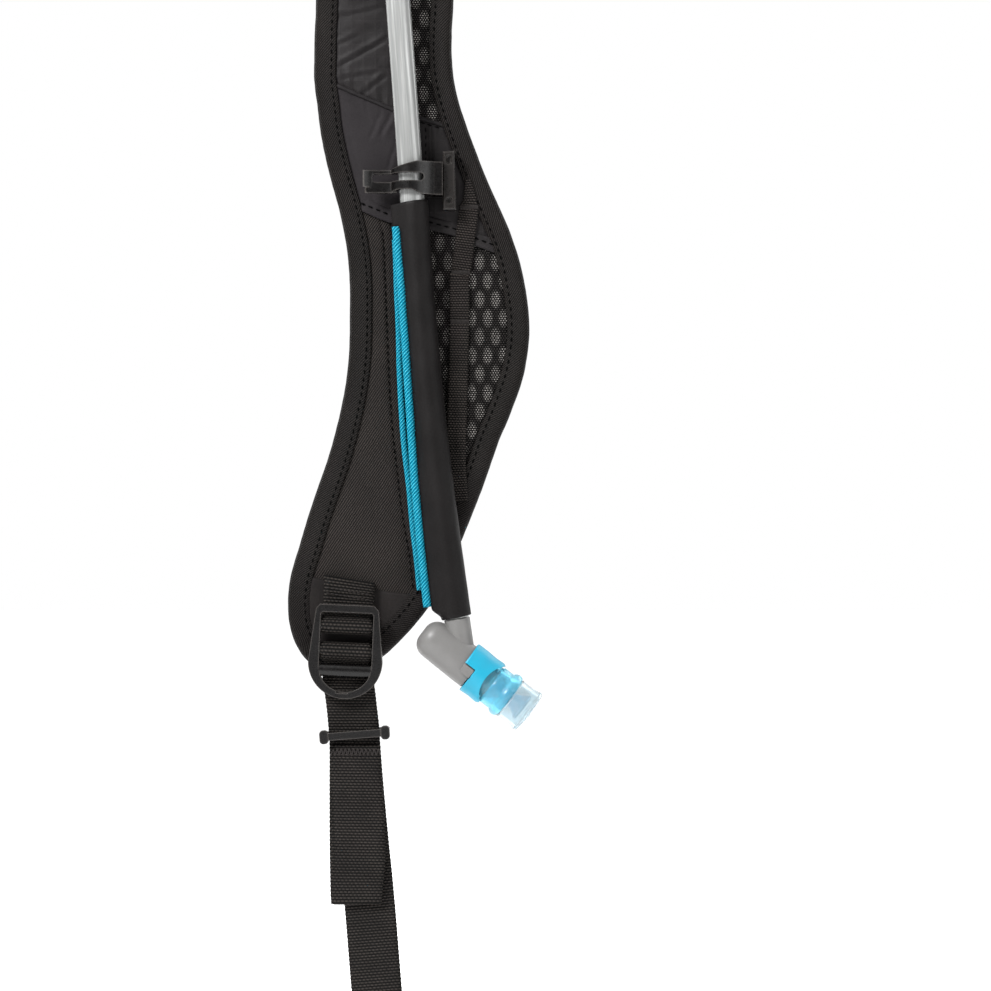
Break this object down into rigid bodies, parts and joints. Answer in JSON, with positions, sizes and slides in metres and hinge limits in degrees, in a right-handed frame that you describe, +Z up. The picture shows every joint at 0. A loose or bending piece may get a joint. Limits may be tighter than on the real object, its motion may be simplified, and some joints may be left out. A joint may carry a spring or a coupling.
{
  "type": "hydration pack shoulder strap with drink hose",
  "caption": "Padded, contoured shoulder strap of a hydration pack with a sleeved drink hose that swings from a clip, a bite valve on an elbow, and a ladder-lock adjusting webbing.",
  "frame": {"origin": "middle of the yoke seam, where the strap is sewn to the pack; the strap hangs from it as it does on a wearer's shoulder", "axes": "+Z up, -Y out of the strap's outer face (away from the wearer), +X to the right when facing the outer face"},
  "size_m": [0.0979, 0.1616, 0.6031],
  "materials": {
    "foam": "matt closed-cell foam",
    "air_mesh": "three-dimensional knitted air mesh",
    "ripstop": "puckered ripstop weave",
    "plain_nylon": "smooth plain weave",
    "twill": "ribbed twill weave",
    "binding_tape": "dense grosgrain tape",
    "webbing": "ribbed polyester webbing",
    "elastic": "knitted elastic",
    "sleeve_fabric": "smooth stretch knit",
    "blue_piping": "twisted cord",
    "thread": "zigzag tack",
    "clear_hose": "translucent flexible tube",
    "black_plastic": "fine moulded texture",
    "grey_plastic": "satin moulded",
    "cyan_plastic": "satin moulded",
    "blue_plastic": "smooth moulded",
    "blue_clear_plastic": "translucent moulded",
    "clear_silicone": "clear silicone",
    "rubber": "ring seal",
    "magnet": "plated magnet",
    "spring_steel": "wire"
  },
  "bodies": {
    "strap": {"back_lining": "air_mesh", "button_spring": "spring_steel", "clip_spine": "black_plastic", "coupling_body": "grey_plastic", "dock_magnet_lower": "magnet", "dock_magnet_upper": "magnet", "dock_piping": "blue_piping", "edge_binding": "binding_tape", "foam_core": "foam", "gear_webbing": "webbing", "hem_left": "plain_nylon", "hem_right": "plain_nylon", "hose_clip": "black_plastic", "hose_loop_shoulder": "elastic", "hose_loop_yoke": "elastic", "hose_tail": "clear_hose", "hose_upper": "clear_hose", "mesh_lower": "air_mesh", "mesh_shoulder": "air_mesh", "panel_chest_left": "plain_nylon", "panel_chest_right": "plain_nylon", "panel_lower": "twill", "panel_shoulder": "ripstop", "piping_link_0": "blue_piping", "sleeve_link_0": "sleeve_fabric", "tab_webbing": "webbing", "tip_patch": "plain_nylon", "yoke_tongue": "binding_tape"},
    "hose_1": {"hose_link_1": "clear_hose", "sleeve_link_1": "sleeve_fabric", "piping_link_1": "blue_piping"},
    "hose_2": {"hose_link_2": "clear_hose", "sleeve_link_2": "sleeve_fabric", "piping_link_2": "blue_piping"},
    "hose_3": {"hose_link_3": "clear_hose", "sleeve_link_3": "sleeve_fabric", "piping_link_3": "blue_piping"},
    "hose_4": {"hose_link_4": "clear_hose", "sleeve_link_4": "sleeve_fabric", "piping_link_4": "blue_piping"},
    "hose_5": {"hose_link_5": "clear_hose", "sleeve_link_5": "sleeve_fabric", "piping_link_5": "blue_piping"},
    "hose_6": {"hose_link_6": "clear_hose", "sleeve_link_6": "sleeve_fabric", "piping_link_6": "blue_piping", "elbow_body": "grey_plastic", "seal_ring": "rubber"},
    "valve": {"lock_collar": "cyan_plastic", "bite_barrel": "blue_clear_plastic", "bite_tip": "clear_silicone", "valve_plug": "blue_plastic"},
    "buckle": {"ladder_buckle": "black_plastic"},
    "webbing": {"adjust_webbing": "webbing", "tail_tack": "thread", "anchor_tab": "plain_nylon"},
    "keeper": {"keeper": "black_plastic"},
    "button": {"coupling_button": "cyan_plastic"}
  },
  "joints": [
    {"name": "hose_swing", "type": "hinge", "parent": "strap", "child": "hose_1", "pos_m": [0.01184, -0.06699, -0.22277], "axis": [0, -1, 0], "range_deg": [0, 10.5]},
    {"name": "hose_bend_2", "type": "hinge", "parent": "hose_1", "child": "hose_2", "pos_m": [0.01389, -0.06699, -0.24939], "axis": [0, -1, 0], "range_deg": [0, 10.5]},
    {"name": "hose_bend_3", "type": "hinge", "parent": "hose_2", "child": "hose_3", "pos_m": [0.01631, -0.06699, -0.27598], "axis": [0, -1, 0], "range_deg": [0, 10.5]},
    {"name": "hose_bend_4", "type": "hinge", "parent": "hose_3", "child": "hose_4", "pos_m": [0.0191, -0.06699, -0.30253], "axis": [0, -1, 0], "range_deg": [0, 10.5]},
    {"name": "hose_bend_5", "type": "hinge", "parent": "hose_4", "child": "hose_5", "pos_m": [0.02226, -0.06699, -0.32905], "axis": [0, -1, 0], "range_deg": [0, 10.5]},
    {"name": "hose_bend_6", "type": "hinge", "parent": "hose_5", "child": "hose_6", "pos_m": [0.02579, -0.06699, -0.35551], "axis": [0, -1, 0], "range_deg": [0, 10.5]},
    {"name": "valve_twist", "type": "hinge", "parent": "hose_6", "child": "valve", "pos_m": [0.03046, -0.06699, -0.38712], "axis": [-0.7944, 0, 0.6074], "range_deg": [0, 90]},
    {"name": "buckle_tilt", "type": "hinge", "parent": "strap", "child": "buckle", "pos_m": [-0.0141, -0.06659, -0.37334], "axis": [-0.999, 0, 0.0436], "range_deg": [0, 24]},
    {"name": "webbing_hang", "type": "hinge", "parent": "buckle", "child": "webbing", "pos_m": [-0.01449, -0.06659, -0.38234], "axis": [-0.999, 0, 0.0436], "range_deg": [-24, 0]},
    {"name": "keeper_slide", "type": "slide", "parent": "webbing", "child": "keeper", "axis": [0.041, 0, -0.9992], "range_m": [-0.007, 0.014]},
    {"name": "button_press", "type": "slide", "parent": "strap", "child": "button", "axis": [0, -1, 0], "range_m": [0, 0.0015], "stiffness_N_per_m": 800, "springref_m": -0.001}
  ],
  "couplings": [
    {"joint": "hose_bend_2", "follows": "hose_swing", "ratio": 1},
    {"joint": "hose_bend_3", "follows": "hose_swing", "ratio": 1},
    {"joint": "hose_bend_4", "follows": "hose_swing", "ratio": 1},
    {"joint": "hose_bend_5", "follows": "hose_swing", "ratio": 1},
    {"joint": "hose_bend_6", "follows": "hose_swing", "ratio": 1},
    {"joint": "webbing_hang", "follows": "buckle_tilt", "ratio": -1}
  ]
}
